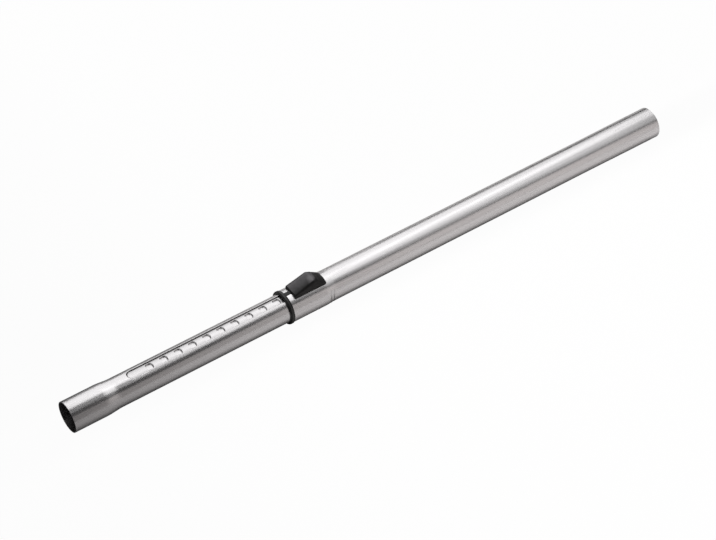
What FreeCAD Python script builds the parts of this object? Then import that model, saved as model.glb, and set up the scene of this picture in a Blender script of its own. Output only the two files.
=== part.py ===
# Telescopic vacuum wand: two steel tubes, a moulded guide sleeve and a thumb slide that works a locking pawl.
# X runs along the wand from the floor tool to the handle, Z is up through the thumb slide, and the origin is the
# centre of the handle socket's mouth. All sizes are in millimetres.
# The latch is drawn released: the thumb slide is pushed towards the collar and the pawl is lifted.
import FreeCAD, Part
import Sketcher
import math
import os

# Driving dimensions
DRIVING = {
    # outer tube
    "outer_length": 500.0,
    "tube_wall": 0.6,
    "pressed_wall": 0.4,
    "tube_gap": 0.9,
    "latch_gap": 1.55,
    "latch_length": 48.0,
    "socket_bore": 35.0,
    "socket_length": 45.0,
    "tube_step": 4.0,
    # inner tube
    "inner_length": 505.0,
    "inner_diameter": 32.5,
    "spigot_diameter": 35.0,
    "spigot_length": 41.0,
    "spigot_taper": 13.0,
    "groove_start": 73.0,
    "groove_width": 11.0,
    "groove_depth": 2.4,
    "first_pocket": 98.0,
    "pocket_pitch": 17.4,
    "pocket_count": 21,
    "rest_pocket": 11,
    "pocket_length": 6.6,
    "pocket_width": 8.2,
    "pocket_depth": 1.7,
    "pocket_round": 1.6,
    # clearances
    "press_gap": 0.05,
    "slide_gap": 0.15,
    "side_gap": 0.25,
    # guide sleeve
    "sleeve_length": 44.0,
    "collar_overhang": 0.7,
    "collar_length": 4.5,
    "collar_round": 1.3,
    "key_start": 5.0,
    "rail_width": 4.4,
    "rail_height": 0.6,
    "tower_start": 15.5,
    "tower_length": 14.1,
    "tower_width": 10.0,
    "tower_height": 1.2,
    "track_height": 0.7,
    "track_depth": 0.7,
    # wiper
    "wiper_width": 1.6,
    "wiper_depth": 1.2,
    "wiper_opening": 50.0,
    # latch window in the outer tube
    "window_start": 12.5,
    "window_length": 28.0,
    "window_width": 13.8,
    # pawl and its pin
    "pawl_setback": 23.4,
    "pawl_length": 5.6,
    "pawl_width": 7.2,
    "pawl_height": 8.9,
    "pawl_round": 1.2,
    "pawl_lift": 1.7,
    "pin_diameter": 2.2,
    "pin_length": 13.2,
    "pin_drop": 1.7,
    # thumb slide
    "button_start": 6.2,
    "button_length": 40.3,
    "button_width": 19.6,
    "button_nose": 2.0,
    "button_height": 9.6,
    "ridge_setback": 26.5,
    "back_setback": 33.4,
    "back_drop": 2.4,
    "tail_height": 1.5,
    "button_wall": 1.6,
    "seat_wall": 4.4,
    "roof_wall": 1.3,
    "button_travel": 5.0,
    "button_round": 1.6,
    "hollow_setback": 34.5,
    "hollow_radius": 7.0,
    "hollow_depth": 1.6,
    "cheek_wall": 1.6,
    "cheek_length": 20.0,
    # return spring
    "spring_diameter": 3.8,
    "spring_wire": 0.45,
    "spring_turns": 5,
    "post_diameter": 2.4,
    "post_length": 3.0,
    # rear bush and seal on the hidden end of the inner tube
    "bush_length": 16.0,
    "bush_lip": 1.5,
    "seal_width": 1.8,
    "seal_depth": 0.4,
    "seal_setback": 6.0,
}

# Sizes worked out from the driving dimensions, as sheet formulas
DERIVED = {
    "mouth_x": "-outer_length",
    "pawl_x": "mouth_x + pawl_setback",
    "spigot_x": "pawl_x - first_pocket - rest_pocket * pocket_pitch",
    "inner_end_x": "spigot_x + inner_length",
    "inner_radius": "inner_diameter / 2",
    "outer_radius": "inner_radius + tube_gap + tube_wall",
    "latch_radius": "inner_radius + latch_gap + tube_wall",
    "socket_radius": "socket_bore / 2 + tube_wall",
    "spigot_radius": "spigot_diameter / 2",
    "groove_floor": "inner_radius - groove_depth",
    "pocket_floor": "groove_floor - pocket_depth",
    "sleeve_bore": "inner_radius + slide_gap",
    "sleeve_radius": "latch_radius - tube_wall - press_gap",
    "collar_radius": "latch_radius + collar_overhang",
    "key_bottom": "groove_floor + slide_gap",
    "key_half": "groove_width / 2 - side_gap",
    "tower_half": "tower_width / 2",
    "tower_top": "latch_radius + tower_height",
    "tower_end_x": "mouth_x + tower_start + tower_length",
    "root_z": "sleeve_bore + slide_gap",
    "wiper_x": "mouth_x - collar_length / 2",
    "pawl_bottom": "groove_floor + slide_gap",
    "pawl_top": "pawl_bottom + pawl_height",
    "pin_z": "pawl_top - pin_drop",
    "button_x": "mouth_x + button_start",
    "button_end_x": "button_x + button_length",
    "ridge_x": "button_x + ridge_setback",
    "nose_z": "latch_radius + button_nose",
    "ridge_z": "latch_radius + button_height",
    "back_z": "ridge_z - back_drop",
    "roof_slope": "(ridge_z - nose_z) / ridge_setback",
    "saddle_radius": "latch_radius + slide_gap",
    "cheek_inner": "tower_half + slide_gap",
    "cheek_outer": "cheek_inner + cheek_wall",
    "cheek_bottom": "latch_radius - tower_height",
    "track_z": "cheek_bottom + slide_gap",
    "spring_z": "tower_top + spring_diameter / 2 - tower_height / 2",
    "spring_seat_x": "button_end_x - seat_wall",
    "bush_radius": "outer_radius - tube_wall - slide_gap",
    "seal_x": "inner_end_x - seal_setback",
}

doc = FreeCAD.newDocument("telescopic_wand")
sheet = doc.addObject("Spreadsheet::Sheet", "Sizes")


def fill_sheet():
    cells = {name: str(value) for name, value in DRIVING.items()}
    cells.update({name: "=" + formula for name, formula in DERIVED.items()})
    for row, (name, content) in enumerate(cells.items(), start=1):
        sheet.set(f"A{row}", name)
        sheet.set(f"B{row}", content)
        sheet.setAlias(f"B{row}", name)
    doc.recompute()


def number(formula):
    """Value of a sheet formula, as a plain number."""
    return float(sheet.evalExpression(formula))


def bound(formula):
    """The same formula written for another object, with every alias led by the sheet's name."""
    words = []
    word = ""
    for letter in formula + " ":
        if letter.isalnum() or letter == "_":
            word += letter
            continue
        words.append("Sizes." + word if word in DRIVING or word in DERIVED else word)
        words.append(letter)
        word = ""
    return "".join(words).strip()


def bind(thing, prop, formula):
    thing.setExpression(prop, bound(formula))


# Sketches and features shared by the sub-parts
def new_body(label):
    body = doc.addObject("PartDesign::Body", label)
    body.Label = label
    return body


def new_sketch(body, name, plane, lift="0"):
    sketch = body.newObject("Sketcher::SketchObject", name)
    support = [feature for feature in body.Origin.OriginFeatures if feature.Role == plane]
    sketch.AttachmentSupport = [(support[0], "")]
    sketch.MapMode = "FlatFace"
    bind(sketch, "AttachmentOffset.Base.z", lift)
    return sketch


def pin_point(sketch, geometry, end, across, up):
    """Tie one sketch point to two sheet formulas, or to an axis where a formula is 0."""
    for kind, axis, formula in (("DistanceX", -2, across), ("DistanceY", -1, up)):
        if formula == "0":
            sketch.addConstraint(Sketcher.Constraint("PointOnObject", geometry, end, axis))
            continue
        datum = Sketcher.Constraint(kind, -1, 1, geometry, end, number(formula))
        index = sketch.addConstraint(datum)
        bind(sketch, f"Constraints[{index}]", formula)


def polygon(body, name, plane, points, lift="0"):
    """Closed outline whose corners are pairs of sheet formulas."""
    sketch = new_sketch(body, name, plane, lift)
    corners = [FreeCAD.Vector(number(across), number(up), 0) for across, up in points]
    for start, end in zip(corners, corners[1:] + corners[:1]):
        sketch.addGeometry(Part.LineSegment(start, end))
    for index, (across, up) in enumerate(points):
        previous = (index - 1) % len(points)
        sketch.addConstraint(Sketcher.Constraint("Coincident", previous, 2, index, 1))
        pin_point(sketch, index, 1, across, up)
    return sketch


def rectangle(body, name, plane, left, right, low, high, lift="0"):
    return polygon(body, name, plane, [(left, low), (right, low), (right, high), (left, high)], lift)


def rounded_rectangle(body, name, plane, middle, length, width, radius, lift="0"):
    """Rectangle with round corners, centred at (middle, 0)."""
    sketch = new_sketch(body, name, plane, lift)
    centre, half_l, half_w, r = number(middle), number(length) / 2, number(width) / 2, number(radius)
    hubs = [(half_l - r, half_w - r, 0), (r - half_l, half_w - r, 90)]
    hubs += [(r - half_l, r - half_w, 180), (half_l - r, r - half_w, 270)]
    for across, up, turn in hubs:
        circle = Part.Circle(FreeCAD.Vector(centre + across, up, 0), FreeCAD.Vector(0, 0, 1), r)
        sketch.addGeometry(Part.ArcOfCircle(circle, math.radians(turn), math.radians(turn + 90)))
    arcs = [sketch.Geometry[index] for index in range(len(hubs))]
    for arc, following in zip(arcs, arcs[1:] + arcs[:1]):
        sketch.addGeometry(Part.LineSegment(arc.EndPoint, following.StartPoint))
    for index in range(len(hubs)):
        line = index + len(hubs)
        sketch.addConstraint(Sketcher.Constraint("Tangent", index, 2, line, 1))
        sketch.addConstraint(Sketcher.Constraint("Tangent", line, 2, (index + 1) % len(hubs), 1))
        if index:
            sketch.addConstraint(Sketcher.Constraint("Equal", 0, index))
    sketch.addConstraint(Sketcher.Constraint("Horizontal", len(hubs)))
    sketch.addConstraint(Sketcher.Constraint("Vertical", len(hubs) + 1))
    radius_index = sketch.addConstraint(Sketcher.Constraint("Radius", 0, r))
    bind(sketch, f"Constraints[{radius_index}]", radius)
    pin_point(sketch, 0, 3, f"{middle} + ({length}) / 2 - ({radius})", f"({width}) / 2 - ({radius})")
    pin_point(sketch, 2, 3, f"{middle} - ({length}) / 2 + ({radius})", f"({radius}) - ({width}) / 2")
    return sketch


def round_start(body, name, plane, start, end, width, lift="0"):
    """Slot outline with a half-round start and a square end."""
    sketch = new_sketch(body, name, plane, lift)
    x_start, x_end, half = number(start), number(end), number(width) / 2
    circle = Part.Circle(FreeCAD.Vector(x_start + half, 0, 0), FreeCAD.Vector(0, 0, 1), half)
    sketch.addGeometry(Part.ArcOfCircle(circle, math.radians(90), math.radians(270)))
    corners = [(x_start + half, -half), (x_end, -half), (x_end, half), (x_start + half, half)]
    corners = [FreeCAD.Vector(across, up, 0) for across, up in corners]
    for first, second in zip(corners[:-1], corners[1:]):
        sketch.addGeometry(Part.LineSegment(first, second))
    sketch.addConstraint(Sketcher.Constraint("Tangent", 0, 2, 1, 1))
    sketch.addConstraint(Sketcher.Constraint("Coincident", 1, 2, 2, 1))
    sketch.addConstraint(Sketcher.Constraint("Coincident", 2, 2, 3, 1))
    sketch.addConstraint(Sketcher.Constraint("Tangent", 3, 2, 0, 1))
    pin_point(sketch, 0, 3, f"{start} + ({width}) / 2", "0")
    pin_point(sketch, 1, 2, end, f"-({width}) / 2")
    pin_point(sketch, 2, 2, end, f"({width}) / 2")
    return sketch


def prism(body, kind, name, sketch, length=None, both_sides=False, flip=False):
    """Pad or pocket of a sketch, through everything where no length is given."""
    feature = body.newObject("PartDesign::" + kind, name)
    feature.Profile = sketch
    feature.Reversed = flip
    if both_sides:
        feature.SideType = "Symmetric"
    if length is None:
        feature.Type = "ThroughAll"
    else:
        bind(feature, "Length", length)
    doc.recompute()
    return feature


def turned(body, kind, name, sketch, angle=None):
    """Revolution or groove of a sketch about the wand's axis."""
    feature = body.newObject("PartDesign::" + kind, name)
    feature.Profile = sketch
    feature.ReferenceAxis = (sketch, ["H_Axis"])
    if angle is not None:
        feature.Midplane = True
        bind(feature, "Angle", angle)
    doc.recompute()
    return feature


def rounded(body, name, base, choose, radius):
    """Fillet on the edges of a feature that a test picks."""
    picked = [f"Edge{index}" for index, edge in enumerate(base.Shape.Edges, start=1) if choose(edge)]
    feature = body.newObject("PartDesign::Fillet", name)
    feature.Base = (base, picked)
    bind(feature, "Radius", radius)
    doc.recompute()
    return feature


def is_ring(edge, radius, x=None):
    """True for a circle about the wand's axis with this radius, and at this x where one is given."""
    if not isinstance(edge.Curve, Part.Circle) or abs(edge.Curve.Radius - radius) > 1e-4:
        return False
    return x is None or abs(edge.Curve.Center.x - x) < 1e-4


# Outer tube: one tube wall, expanded at the latch end and at the handle socket
def make_outer_tube():
    body = new_body("outer_tube")
    stations = [
        ("mouth_x", "latch_radius"),
        ("mouth_x + latch_length", "latch_radius"),
        ("mouth_x + latch_length + tube_step", "outer_radius"),
        ("-socket_length - tube_step", "outer_radius"),
        ("-socket_length", "socket_radius"),
        ("0", "socket_radius"),
    ]
    bore = [(x, f"{radius} - tube_wall") for x, radius in reversed(stations)]
    turned(body, "Revolution", "tube", polygon(body, "tube_wall_outline", "XZ_Plane", stations + bore))
    slot_half = "rail_width / 2 + slide_gap"
    window_x = "mouth_x + window_start"
    window_end = "mouth_x + window_start + window_length"
    cut = [
        ("mouth_x", f"-({slot_half})"),
        (window_x, f"-({slot_half})"),
        (window_x, "-window_width / 2"),
        (window_end, "-window_width / 2"),
        (window_end, "window_width / 2"),
        (window_x, "window_width / 2"),
        (window_x, slot_half),
        ("mouth_x", slot_half),
    ]
    prism(body, "Pocket", "latch_window", polygon(body, "latch_window_outline", "XY_Plane", cut), flip=True)
    return body


# Inner tube: spigot, pressed guide groove with a half-round start, and a row of pressed locking pockets
def make_inner_tube():
    body = new_body("inner_tube")
    stations = [
        ("spigot_x", "spigot_radius"),
        ("spigot_x + spigot_length", "spigot_radius"),
        ("spigot_x + spigot_length + spigot_taper", "inner_radius"),
        ("inner_end_x", "inner_radius"),
    ]
    bore = [(x, f"{radius} - tube_wall") for x, radius in reversed(stations)]
    turned(body, "Revolution", "tube", polygon(body, "tube_wall_outline", "XZ_Plane", stations + bore))
    # pressing thins the metal: first the bed under the groove, skimmed to the tube, then the groove
    start = "spigot_x + groove_start"
    bed = round_start(body, "bed_outline", "XY_Plane", f"{start} - pressed_wall", "inner_end_x",
                      "groove_width + 2 * pressed_wall", "groove_floor - pressed_wall")
    prism(body, "Pad", "groove_bed", bed, "groove_depth + pressed_wall + tube_wall")
    skim = rectangle(body, "skim_outline", "XZ_Plane", f"{start} - 2 * tube_wall", "inner_end_x",
                     "inner_radius", "inner_radius + groove_depth")
    turned(body, "Groove", "skim", skim)
    groove = round_start(body, "groove_outline", "XY_Plane", start, "inner_end_x", "groove_width", "groove_floor")
    prism(body, "Pocket", "groove", groove, flip=True)
    # one pocket and its bed, repeated along the groove
    middle = "spigot_x + first_pocket"
    pan = rounded_rectangle(body, "pan_outline", "XY_Plane", middle, "pocket_length + 2 * pressed_wall",
                            "pocket_width + 2 * pressed_wall", "pocket_round + pressed_wall",
                            "pocket_floor - pressed_wall")
    pan_pad = prism(body, "Pad", "pocket_pan", pan, "pocket_depth + pressed_wall / 2")
    well = rounded_rectangle(body, "well_outline", "XY_Plane", middle, "pocket_length", "pocket_width",
                             "pocket_round", "pocket_floor")
    well_cut = prism(body, "Pocket", "pocket_well", well, "pocket_depth + tube_wall", flip=True)
    row = body.newObject("PartDesign::LinearPattern", "pocket_row")
    row.Originals = [pan_pad, well_cut]
    row.Direction = (pan, ["H_Axis"])
    row.Mode = "Spacing"
    bind(row, "Offset", "pocket_pitch")
    bind(row, "Occurrences", "pocket_count")
    body.Tip = row
    doc.recompute()
    return body


# Guide sleeve: collar, bush, key in the groove, top rail and the tower that guides the pawl
def make_guide_sleeve():
    body = new_body("guide_sleeve")
    profile = [
        ("mouth_x - collar_length", "sleeve_bore"),
        ("mouth_x - collar_length", "collar_radius"),
        ("mouth_x", "collar_radius"),
        ("mouth_x", "sleeve_radius"),
        ("mouth_x + sleeve_length", "sleeve_radius"),
        ("mouth_x + sleeve_length", "sleeve_bore"),
        ("wiper_x + wiper_width / 2 + press_gap", "sleeve_bore"),
        ("wiper_x + wiper_width / 2 + press_gap", "sleeve_bore + wiper_depth"),
        ("wiper_x - wiper_width / 2 - press_gap", "sleeve_bore + wiper_depth"),
        ("wiper_x - wiper_width / 2 - press_gap", "sleeve_bore"),
    ]
    bush = turned(body, "Revolution", "bush", polygon(body, "bush_outline", "XZ_Plane", profile))
    rounded(body, "collar_edges", bush, lambda edge: is_ring(edge, number("collar_radius")), "collar_round")
    # bars along X, each a section on the YZ plane moved to its start
    key = rectangle(body, "key_outline", "YZ_Plane", "-key_half", "key_half", "key_bottom",
                    "sleeve_radius - slide_gap", "mouth_x + key_start")
    prism(body, "Pad", "key", key, "sleeve_length - key_start")
    skim = rectangle(body, "key_skim_outline", "XZ_Plane", "mouth_x + key_start", "mouth_x + sleeve_length",
                     "sleeve_radius", "collar_radius")
    turned(body, "Groove", "key_skim", skim)
    rail = rectangle(body, "rail_outline", "YZ_Plane", "-rail_width / 2", "rail_width / 2", "root_z",
                     "latch_radius + rail_height", "mouth_x - collar_round")
    prism(body, "Pad", "rail", rail, "tower_start + collar_round")
    tower = rectangle(body, "tower_outline", "YZ_Plane", "-tower_half", "tower_half", "root_z", "tower_top",
                      "mouth_x + tower_start")
    prism(body, "Pad", "tower", tower, "tower_length")
    block_half = "spring_diameter / 2"
    block = rectangle(body, "block_outline", "YZ_Plane", f"-{block_half}", block_half, "latch_radius",
                      "spring_z + spring_diameter / 2", "tower_end_x - cheek_wall")
    prism(body, "Pad", "spring_block", block, "cheek_wall")
    post = new_sketch(body, "post_outline", "YZ_Plane", "tower_end_x")
    post.addGeometry(Part.Circle(FreeCAD.Vector(0, number("spring_z"), 0), FreeCAD.Vector(0, 0, 1),
                                 number("post_diameter / 2")))
    pin_point(post, 0, 3, "0", "spring_z")
    size = post.addConstraint(Sketcher.Constraint("Diameter", 0, number("post_diameter")))
    bind(post, f"Constraints[{size}]", "post_diameter")
    prism(body, "Pad", "spring_post", post, "post_length")
    # tracks in the tower's sides, where the thumb slide's ribs run
    for side, inner, outer in (("left", "tower_half - track_depth", "tower_half + track_depth"),
                               ("right", "-tower_half - track_depth", "-tower_half + track_depth")):
        track = rectangle(body, f"{side}_track_outline", "YZ_Plane", inner, outer, "track_z - slide_gap",
                          "track_z + track_height + slide_gap", "tower_end_x")
        prism(body, "Pocket", f"{side}_track", track, "tower_length")
    well = rounded_rectangle(body, "pawl_well_outline", "XY_Plane", "pawl_x", "pawl_length + 2 * slide_gap",
                             "pawl_width + 2 * slide_gap", "pawl_round")
    prism(body, "Pocket", "pawl_well", well, flip=True)
    slot_half = "pin_diameter / 2 + slide_gap"
    slot = rectangle(body, "pin_slot_outline", "XZ_Plane", f"pawl_x - ({slot_half})", f"pawl_x + ({slot_half})",
                     f"pin_z - pawl_lift - ({slot_half})", "pin_z")
    prism(body, "Pocket", "pin_slot", slot, "pin_length + 2 * side_gap", both_sides=True)
    return body


# Wiper: felt strip bent into the collar's recess, open where the guide groove passes
def make_wiper_ring():
    body = new_body("wiper_ring")
    strip = rectangle(body, "strip_outline", "XZ_Plane", "wiper_x - wiper_width / 2", "wiper_x + wiper_width / 2",
                      "press_gap - sleeve_bore - wiper_depth", "-inner_radius - press_gap")
    turned(body, "Revolution", "strip", strip, "360 - wiper_opening")
    return body


# Pawl: block with a round-cornered section and a cross hole near its top
def make_lock_pawl():
    body = new_body("lock_pawl")
    section = rounded_rectangle(body, "section_outline", "XY_Plane", "pawl_x", "pawl_length", "pawl_width",
                                "pawl_round", "pawl_bottom")
    block = prism(body, "Pad", "block", section, "pawl_height")
    floor = number("pawl_bottom")
    rounded(body, "nose_edges", block, lambda edge: abs(edge.BoundBox.ZMax - floor) < 1e-6, "pawl_round / 2")
    hole = new_sketch(body, "pin_hole_outline", "XZ_Plane")
    hole.addGeometry(Part.Circle(FreeCAD.Vector(number("pawl_x"), number("pin_z"), 0), FreeCAD.Vector(0, 0, 1),
                                 number("pin_diameter / 2 + press_gap")))
    pin_point(hole, 0, 3, "pawl_x", "pin_z")
    size = hole.addConstraint(Sketcher.Constraint("Radius", 0, number("pin_diameter / 2 + press_gap")))
    bind(hole, f"Constraints[{size}]", "pin_diameter / 2 + press_gap")
    prism(body, "Pocket", "pin_hole", hole, "2 * pawl_width", both_sides=True)
    return body


# Pawl pin: plain steel dowel across the wand
def make_pawl_pin():
    pin = doc.addObject("Part::Cylinder", "pawl_pin")
    pin.Label = "pawl_pin"
    pin.Placement.Rotation = FreeCAD.Rotation(FreeCAD.Vector(1, 0, 0), 90)
    bind(pin, "Radius", "pin_diameter / 2")
    bind(pin, "Height", "pin_length")
    bind(pin, "Placement.Base.x", "pawl_x")
    bind(pin, "Placement.Base.y", "pin_length / 2")
    bind(pin, "Placement.Base.z", "pin_z")
    return pin


# Thumb slide: hollow moulding that saddles the tube, with slotted cheeks and ribs that hold it to the tower
def make_slide_button():
    body = new_body("slide_button")
    base = "sleeve_bore"
    side = [
        ("button_x", base),
        ("button_x", "nose_z"),
        ("ridge_x", "ridge_z"),
        ("button_x + back_setback", "back_z"),
        ("button_end_x", "latch_radius + tail_height"),
        ("button_end_x", base),
    ]
    block = prism(body, "Pad", "block", polygon(body, "side_outline", "XZ_Plane", side), "button_width",
                  both_sides=True)
    floor = number(base)
    rounded(body, "outer_edges", block, lambda edge: edge.BoundBox.ZMax > floor + 1e-6, "button_round")
    hollow = body.newObject("PartDesign::SubtractiveSphere", "thumb_hollow")
    bind(hollow, "Radius", "hollow_radius")
    bind(hollow, "Placement.Base.x", "button_x + hollow_setback")
    bind(hollow, "Placement.Base.z", "back_z - hollow_depth + hollow_radius")
    doc.recompute()
    saddle = rectangle(body, "saddle_outline", "XZ_Plane", "button_x - button_wall", "button_end_x + button_wall",
                       "0", "saddle_radius")
    turned(body, "Groove", "saddle", saddle)
    inner_x = "button_x + button_wall"
    roof_z = "nose_z - roof_wall + roof_slope"
    rim_x = "button_x + hollow_setback - hollow_radius"
    spring_top = "spring_z + spring_diameter / 2 + slide_gap"
    cavity = [
        (inner_x, "0"),
        (inner_x, f"{roof_z} * button_wall"),
        ("tower_end_x", f"{roof_z} * (tower_end_x - button_x)"),
        (rim_x, "back_z - roof_wall"),
        (f"{rim_x} + roof_wall", spring_top),
        ("spring_seat_x", spring_top),
        ("spring_seat_x", "0"),
    ]
    prism(body, "Pocket", "cavity", polygon(body, "cavity_outline", "XZ_Plane", cavity),
          "button_width - 2 * button_wall", both_sides=True)
    # cheeks on both sides of the tower, from the roof down to the tube, with a rib along each
    for side_name, low, high, rib_low, rib_high in (
            ("left", "cheek_inner", "cheek_outer", "tower_half - track_depth + slide_gap", "cheek_outer"),
            ("right", "-cheek_outer", "-cheek_inner", "-cheek_outer", "track_depth - tower_half - slide_gap")):
        cheek_side = [
            ("pawl_x - cheek_length / 2", "cheek_bottom"),
            ("pawl_x - cheek_length / 2", f"{roof_z} * (pawl_x - cheek_length / 2 - button_x) + roof_wall / 2"),
            ("tower_end_x", f"{roof_z} * (tower_end_x - button_x) + roof_wall / 2"),
            ("pawl_x + cheek_length / 2", f"{roof_z} * (tower_end_x - button_x)"),
            ("pawl_x + cheek_length / 2", "cheek_bottom"),
        ]
        outline = polygon(body, f"{side_name}_cheek_outline", "XZ_Plane", cheek_side, f"-({high})")
        prism(body, "Pad", f"{side_name}_cheek", outline, "cheek_wall")
        rib = rectangle(body, f"{side_name}_rib_outline", "YZ_Plane", rib_low, rib_high, "track_z",
                        "track_z + track_height", "mouth_x + tower_start + slide_gap")
        prism(body, "Pad", f"{side_name}_rib", rib, "tower_length")
    # slanted slot through both cheeks: the pin sits at its upper end while the latch is released
    reach = "(pin_diameter / 2 + slide_gap)"
    slope = "pawl_lift / button_travel"
    slot = [
        (f"pawl_x + {reach}", f"pin_z + {reach} * (1 + {slope})"),
        (f"pawl_x - button_travel - {reach}", f"pin_z - pawl_lift + {reach} * (1 - {slope})"),
        (f"pawl_x - button_travel - {reach}", f"pin_z - pawl_lift - {reach} * (1 + {slope})"),
        (f"pawl_x + {reach}", f"pin_z - {reach} * (1 - {slope})"),
    ]
    prism(body, "Pocket", "pin_slots", polygon(body, "pin_slot_outline", "XZ_Plane", slot),
          "2 * cheek_outer + press_gap", both_sides=True)
    notch_half = "rail_width / 2 + side_gap"
    notch = rectangle(body, "rail_notch_outline", "YZ_Plane", f"-({notch_half})", notch_half, "0",
                      "latch_radius + rail_height + side_gap", "button_x - button_wall")
    prism(body, "Pocket", "rail_notch", notch, "3 * button_wall", flip=True)
    return body


# Return spring: open coil between the tower's post and the thumb slide's rear wall
def make_return_spring():
    wire = number("spring_wire") / 2
    radius = number("spring_diameter") / 2 - wire
    start = number("tower_end_x + press_gap") + wire
    end = number("spring_seat_x - press_gap") - wire
    pitch = (end - start) / number("spring_turns")
    helix = Part.makeHelix(pitch, end - start, radius)
    section = Part.Wire([Part.makeCircle(wire, FreeCAD.Vector(radius, 0, 0), FreeCAD.Vector(0, 1, 0))])
    coil = Part.Wire(helix.Edges).makePipeShell([section], True, True)
    spring = doc.addObject("Part::Feature", "return_spring")
    spring.Label = "return_spring"
    spring.Shape = Part.Solid(coil) if coil.ShapeType == "Shell" else coil
    spring.Placement = FreeCAD.Placement(FreeCAD.Vector(start, 0, number("spring_z")),
                                         FreeCAD.Rotation(FreeCAD.Vector(0, 1, 0), 90))
    return spring


# Rear bush: sleeve and lip on the hidden end of the inner tube, with a key in the groove and a seal groove
def make_rear_bush():
    body = new_body("rear_bush")
    start = "inner_end_x - bush_length"
    end = "inner_end_x + bush_lip"
    profile = [
        (start, "inner_radius + press_gap"),
        (start, "bush_radius"),
        (end, "bush_radius"),
        (end, "inner_radius - tube_wall"),
        ("inner_end_x + press_gap", "inner_radius - tube_wall"),
        ("inner_end_x + press_gap", "inner_radius + press_gap"),
    ]
    turned(body, "Revolution", "ring", polygon(body, "ring_outline", "XZ_Plane", profile))
    key = rectangle(body, "key_outline", "YZ_Plane", "-key_half", "key_half", "key_bottom",
                    "inner_radius + slide_gap", start)
    prism(body, "Pad", "key", key, "bush_length + bush_lip")
    skim = rectangle(body, "key_skim_outline", "XZ_Plane", start, end, "bush_radius", "outer_radius")
    turned(body, "Groove", "key_skim", skim)
    seal = rectangle(body, "seal_groove_outline", "XZ_Plane", "seal_x - seal_width / 2 - press_gap",
                     "seal_x + seal_width / 2 + press_gap", "bush_radius - seal_depth", "outer_radius")
    turned(body, "Groove", "seal_groove", seal)
    return body


# Rear seal: soft ring in the bush's groove
def make_rear_seal():
    body = new_body("rear_seal")
    ring = rectangle(body, "ring_outline", "XZ_Plane", "seal_x - seal_width / 2", "seal_x + seal_width / 2",
                     "bush_radius - seal_depth + press_gap", "outer_radius - tube_wall - press_gap")
    turned(body, "Revolution", "ring", ring)
    return body


def check(sub_parts):
    failed = [thing.Label for thing in doc.Objects if {"Invalid", "Error"} & set(thing.State)]
    failed += [part.Label for part in sub_parts if part.Shape.isNull() or not part.Shape.isValid()]
    failed += [part.Label for part in sub_parts if len(part.Shape.Solids) != 1]
    if failed:
        raise RuntimeError("failed: " + ", ".join(failed))


fill_sheet()
SUB_PARTS = [
    make_outer_tube(),
    make_inner_tube(),
    make_guide_sleeve(),
    make_wiper_ring(),
    make_lock_pawl(),
    make_pawl_pin(),
    make_slide_button(),
    make_return_spring(),
    make_rear_bush(),
    make_rear_seal(),
]
doc.recompute()
check(SUB_PARTS)
os.makedirs("parts", exist_ok=True)
for sub_part in SUB_PARTS:
    sub_part.Shape.exportStep(f"parts/{sub_part.Label}.step")
    print(sub_part.Label, round(sub_part.Shape.Volume, 1), sub_part.Shape.BoundBox)
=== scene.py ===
# %% [markdown]
# Telescopic vacuum wand: the looks
#
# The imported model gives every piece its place, size and motion. This lesson dresses it: a camera set
# where the photograph was taken, soft studio light that draws the long bright and dark bands on the
# steel, finer meshes for the two pressed tubes and the thumb slide, and a material with its own grain
# for every piece.

import math

import bpy
import numpy as np
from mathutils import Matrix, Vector


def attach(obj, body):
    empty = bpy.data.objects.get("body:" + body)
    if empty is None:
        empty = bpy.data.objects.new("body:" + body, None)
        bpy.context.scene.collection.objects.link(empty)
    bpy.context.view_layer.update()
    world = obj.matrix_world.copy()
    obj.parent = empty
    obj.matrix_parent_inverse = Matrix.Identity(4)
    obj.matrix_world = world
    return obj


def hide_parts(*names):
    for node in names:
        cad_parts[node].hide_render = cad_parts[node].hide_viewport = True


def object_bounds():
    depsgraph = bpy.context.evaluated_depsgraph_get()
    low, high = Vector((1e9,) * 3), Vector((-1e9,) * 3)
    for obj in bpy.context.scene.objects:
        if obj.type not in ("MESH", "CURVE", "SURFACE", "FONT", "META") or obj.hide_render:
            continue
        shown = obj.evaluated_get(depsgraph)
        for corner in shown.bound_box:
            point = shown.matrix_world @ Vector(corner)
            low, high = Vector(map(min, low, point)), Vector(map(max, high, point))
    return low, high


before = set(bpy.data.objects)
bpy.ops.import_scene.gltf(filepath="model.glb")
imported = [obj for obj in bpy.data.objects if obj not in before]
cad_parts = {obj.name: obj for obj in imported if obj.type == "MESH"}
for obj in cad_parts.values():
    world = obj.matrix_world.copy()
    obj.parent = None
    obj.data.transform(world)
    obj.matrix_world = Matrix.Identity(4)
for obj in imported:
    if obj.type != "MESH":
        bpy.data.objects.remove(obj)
cad_low, cad_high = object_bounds()
MM = 0.001
print("pieces in the frame:", sorted(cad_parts))

# %% [markdown]
# The camera
#
# A picture of a long thin thing gives its camera away: both ends, the tube's edges and the evenly
# spaced pockets fix the direction, the distance and the lens. A camera could be set by eye, but a fit
# to those marks is surer. The wand lies level with the thumb slide straight up, and the lens is a long
# one, so the far end is only a little smaller than the near end.

# %% Place the camera
AZIMUTH = math.radians(-35.19)
ELEVATION = math.radians(45.97)
DISTANCE = 2.5147
AIM = Vector((-0.4062, 0.0005, -0.0006))
LENS = 117.9
SENSOR_WIDTH = 36.0
BACK = Vector((
    math.sin(AZIMUTH) * math.cos(ELEVATION),
    -math.cos(AZIMUTH) * math.cos(ELEVATION),
    math.sin(ELEVATION),
))

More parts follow.
